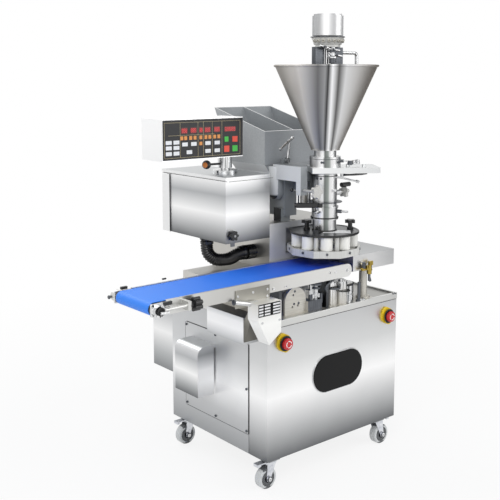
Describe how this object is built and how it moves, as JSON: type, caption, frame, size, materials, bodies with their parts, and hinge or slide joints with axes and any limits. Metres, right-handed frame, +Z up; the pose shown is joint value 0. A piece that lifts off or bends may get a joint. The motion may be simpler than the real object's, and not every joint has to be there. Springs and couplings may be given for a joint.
{
  "type": "food depositing machine",
  "caption": "Stainless filling and forming machine on casters: belt conveyor, shutter head, filling column with cone hopper, dough hopper, motor box and swivelling control panel.",
  "frame": {"origin": "centre of the bounding box at the floor", "axes": "+X to the right along the front cover, +Y to the back, +Z up"},
  "size_m": [1.1259, 0.786, 1.6296],
  "materials": {
    "stainless": "satin",
    "aluminium": "satin",
    "polished_steel": "polished",
    "spun_steel": "satin",
    "cast_grey": "hammered",
    "blue_belt": "matte",
    "white_plastic": "satin",
    "smoked_acrylic": "gloss",
    "black_plastic": "satin",
    "hose_rubber": "satin",
    "brass": "polished",
    "orange_plastic": "gloss",
    "yellow_plastic": "gloss",
    "red_plastic": "gloss",
    "wheel_rubber": "matte"
  },
  "bodies": {
    "machine": {"cabinet_shell": "stainless", "front_cover": "stainless", "access_cover": "stainless", "table_top": "stainless", "rear_housing": "stainless", "conveyor_frame": "aluminium", "belt": "blue_belt", "drive_bracket": "stainless", "drive_cover": "stainless", "belt_lift": "stainless", "air_valve": "brass", "head_block": "stainless", "shutter_ring": "aluminium", "shutter_cover": "smoked_acrylic", "filling_column": "polished_steel", "mount_plate": "polished_steel", "cone_hopper": "spun_steel", "agitator_motor": "polished_steel", "dough_hopper": "cast_grey", "screw_casting": "cast_grey", "motor_box": "stainless", "hose": "hose_rubber", "hose_fittings": "black_plastic", "panel_post": "stainless", "estop_bases": "yellow_plastic", "screws": "polished_steel"},
    "drive_roller": {"drive_roller": "polished_steel"},
    "tail_roller": {"tail_roller": "polished_steel"},
    "tension_knob": {"tension_knob": "black_plastic"},
    "shutter_1": {"shutter_1": "white_plastic"},
    "shutter_2": {"shutter_2": "white_plastic"},
    "shutter_3": {"shutter_3": "white_plastic"},
    "shutter_4": {"shutter_4": "white_plastic"},
    "shutter_5": {"shutter_5": "white_plastic"},
    "shutter_6": {"shutter_6": "white_plastic"},
    "shutter_7": {"shutter_7": "white_plastic"},
    "shutter_8": {"shutter_8": "white_plastic"},
    "shutter_9": {"shutter_9": "white_plastic"},
    "cover_knob_left": {"cover_knob_left": "black_plastic"},
    "cover_knob_right": {"cover_knob_right": "black_plastic"},
    "star_knob_left": {"star_knob_left": "polished_steel"},
    "clamp_handle_right": {"clamp_handle_right": "polished_steel"},
    "lever_left": {"lever_left": "black_plastic"},
    "agitator": {"agitator": "polished_steel"},
    "dough_screw_left": {"dough_screw_left": "polished_steel"},
    "dough_screw_right": {"dough_screw_right": "polished_steel"},
    "crank_handle": {"crank_handle": "polished_steel"},
    "latch_knob": {"latch_knob": "black_plastic"},
    "clamp_knob": {"clamp_knob": "orange_plastic"},
    "control_box": {"control_box": "stainless"},
    "estop_button_left": {"estop_button_left": "red_plastic"},
    "estop_button_right": {"estop_button_right": "red_plastic"},
    "caster_fork_front_left": {"caster_fork_front_left": "aluminium"},
    "caster_wheel_front_left": {"caster_wheel_front_left": "wheel_rubber"},
    "caster_fork_front_right": {"caster_fork_front_right": "aluminium"},
    "caster_wheel_front_right": {"caster_wheel_front_right": "wheel_rubber"},
    "caster_fork_back_left": {"caster_fork_back_left": "aluminium"},
    "caster_wheel_back_left": {"caster_wheel_back_left": "wheel_rubber"},
    "caster_fork_back_right": {"caster_fork_back_right": "aluminium"},
    "caster_wheel_back_right": {"caster_wheel_back_right": "wheel_rubber"}
  },
  "joints": [
    {"name": "caster_swivel_front_left", "type": "hinge", "parent": "machine", "child": "caster_fork_front_left", "pos_m": [-0.057, -0.281, 0.095], "axis": [0, 0, 1], "continuous": true},
    {"name": "caster_spin_front_left", "type": "hinge", "parent": "caster_fork_front_left", "child": "caster_wheel_front_left", "pos_m": [-0.079, -0.281, 0.0375], "axis": [0, 1, 0], "continuous": true},
    {"name": "caster_swivel_front_right", "type": "hinge", "parent": "machine", "child": "caster_fork_front_right", "pos_m": [0.48, -0.281, 0.095], "axis": [0, 0, 1], "continuous": true},
    {"name": "caster_spin_front_right", "type": "hinge", "parent": "caster_fork_front_right", "child": "caster_wheel_front_right", "pos_m": [0.502, -0.281, 0.0375], "axis": [0, 1, 0], "continuous": true},
    {"name": "caster_swivel_back_left", "type": "hinge", "parent": "machine", "child": "caster_fork_back_left", "pos_m": [-0.057, 0.195, 0.095], "axis": [0, 0, 1], "continuous": true},
    {"name": "caster_spin_back_left", "type": "hinge", "parent": "caster_fork_back_left", "child": "caster_wheel_back_left", "pos_m": [-0.079, 0.195, 0.0375], "axis": [0, 1, 0], "continuous": true},
    {"name": "caster_swivel_back_right", "type": "hinge", "parent": "machine", "child": "caster_fork_back_right", "pos_m": [0.48, 0.195, 0.095], "axis": [0, 0, 1], "continuous": true},
    {"name": "caster_spin_back_right", "type": "hinge", "parent": "caster_fork_back_right", "child": "caster_wheel_back_right", "pos_m": [0.502, 0.195, 0.0375], "axis": [0, 1, 0], "continuous": true},
    {"name": "drive_roller_turn", "type": "hinge", "parent": "machine", "child": "drive_roller", "pos_m": [0.284, -0.209, 0.72], "axis": [0, 1, 0], "continuous": true},
    {"name": "tail_roller_turn", "type": "hinge", "parent": "machine", "child": "tail_roller", "pos_m": [-0.54, -0.209, 0.72], "axis": [0, 1, 0], "continuous": true},
    {"name": "tension_knob_turn", "type": "hinge", "parent": "machine", "child": "tension_knob", "pos_m": [-0.41, -0.332, 0.72], "axis": [1, 0, 0], "continuous": true},
    {"name": "shutter_1_turn", "type": "hinge", "parent": "machine", "child": "shutter_1", "pos_m": [0.19972, -0.2866, 0.826], "axis": [0, 0, 1], "range_deg": [-30, 0]},
    {"name": "shutter_2_turn", "type": "hinge", "parent": "machine", "child": "shutter_2", "pos_m": [0.264, -0.31, 0.826], "axis": [0, 0, 1], "range_deg": [-30, 0]},
    {"name": "shutter_3_turn", "type": "hinge", "parent": "machine", "child": "shutter_3", "pos_m": [0.32828, -0.2866, 0.826], "axis": [0, 0, 1], "range_deg": [-30, 0]},
    {"name": "shutter_4_turn", "type": "hinge", "parent": "machine", "child": "shutter_4", "pos_m": [0.36248, -0.22736, 0.826], "axis": [0, 0, 1], "range_deg": [-30, 0]},
    {"name": "shutter_5_turn", "type": "hinge", "parent": "machine", "child": "shutter_5", "pos_m": [0.3506, -0.16, 0.826], "axis": [0, 0, 1], "range_deg": [-30, 0]},
    {"name": "shutter_6_turn", "type": "hinge", "parent": "machine", "child": "shutter_6", "pos_m": [0.2982, -0.11603, 0.826], "axis": [0, 0, 1], "range_deg": [-30, 0]},
    {"name": "shutter_7_turn", "type": "hinge", "parent": "machine", "child": "shutter_7", "pos_m": [0.2298, -0.11603, 0.826], "axis": [0, 0, 1], "range_deg": [-30, 0]},
    {"name": "shutter_8_turn", "type": "hinge", "parent": "machine", "child": "shutter_8", "pos_m": [0.1774, -0.16, 0.826], "axis": [0, 0, 1], "range_deg": [-30, 0]},
    {"name": "shutter_9_turn", "type": "hinge", "parent": "machine", "child": "shutter_9", "pos_m": [0.16552, -0.22736, 0.826], "axis": [0, 0, 1], "range_deg": [-30, 0]},
    {"name": "cover_knob_left_turn", "type": "hinge", "parent": "machine", "child": "cover_knob_left", "pos_m": [0.224, -0.159, 0.875], "axis": [0, 0, 1], "continuous": true},
    {"name": "cover_knob_right_turn", "type": "hinge", "parent": "machine", "child": "cover_knob_right", "pos_m": [0.349, -0.258, 0.875], "axis": [0, 0, 1], "continuous": true},
    {"name": "star_knob_left_turn", "type": "hinge", "parent": "machine", "child": "star_knob_left", "pos_m": [0.161, -0.271, 1.01], "axis": [0, 1, 0], "continuous": true},
    {"name": "clamp_handle_right_turn", "type": "hinge", "parent": "machine", "child": "clamp_handle_right", "pos_m": [0.338, -0.23, 0.9926], "axis": [1, 0, 0], "range_deg": [-20, 40]},
    {"name": "lever_left_turn", "type": "hinge", "parent": "machine", "child": "lever_left", "pos_m": [0.214, -0.237, 0.956], "axis": [0, 0, 1], "range_deg": [0, 70]},
    {"name": "agitator_turn", "type": "hinge", "parent": "machine", "child": "agitator", "pos_m": [0.264, -0.21, 1.3], "axis": [0, 0, 1], "continuous": true},
    {"name": "dough_screw_left_turn", "type": "hinge", "parent": "machine", "child": "dough_screw_left", "pos_m": [0.19, 0.045, 1.045], "axis": [0, 1, 0], "continuous": true},
    {"name": "dough_screw_right_turn", "type": "hinge", "parent": "machine", "child": "dough_screw_right", "pos_m": [0.3368, 0.045, 1.045], "axis": [0, 1, 0], "continuous": true},
    {"name": "crank_handle_tilt", "type": "hinge", "parent": "machine", "child": "crank_handle", "pos_m": [0.2, -0.077, 1.106], "axis": [0, 1, 0], "range_deg": [-35, 35]},
    {"name": "latch_knob_turn", "type": "hinge", "parent": "machine", "child": "latch_knob", "pos_m": [-0.079, -0.11, 0.86], "axis": [0, 1, 0], "continuous": true},
    {"name": "control_box_swivel", "type": "hinge", "parent": "machine", "child": "control_box", "pos_m": [-0.012, 0.025, 1.11], "axis": [0, 0, 1], "range_deg": [-90, 90]},
    {"name": "clamp_knob_turn", "type": "hinge", "parent": "control_box", "child": "clamp_knob", "pos_m": [-0.062, 0.025, 1.1], "axis": [1, 0, 0], "continuous": true},
    {"name": "estop_left_press", "type": "slide", "parent": "machine", "child": "estop_button_left", "axis": [0, 1, 0], "range_m": [0, 0.004], "stiffness_N_per_m": 600, "springref_m": -0.002},
    {"name": "estop_right_press", "type": "slide", "parent": "machine", "child": "estop_button_right", "axis": [0, 1, 0], "range_m": [0, 0.004], "stiffness_N_per_m": 600, "springref_m": -0.002}
  ],
  "couplings": [
    {"joint": "tail_roller_turn", "follows": "drive_roller_turn", "ratio": 1},
    {"joint": "dough_screw_right_turn", "follows": "dough_screw_left_turn", "ratio": -1},
    {"joint": "shutter_2_turn", "follows": "shutter_1_turn", "ratio": 1},
    {"joint": "shutter_3_turn", "follows": "shutter_1_turn", "ratio": 1},
    {"joint": "shutter_4_turn", "follows": "shutter_1_turn", "ratio": 1},
    {"joint": "shutter_5_turn", "follows": "shutter_1_turn", "ratio": 1},
    {"joint": "shutter_6_turn", "follows": "shutter_1_turn", "ratio": 1},
    {"joint": "shutter_7_turn", "follows": "shutter_1_turn", "ratio": 1},
    {"joint": "shutter_8_turn", "follows": "shutter_1_turn", "ratio": 1},
    {"joint": "shutter_9_turn", "follows": "shutter_1_turn", "ratio": 1}
  ]
}
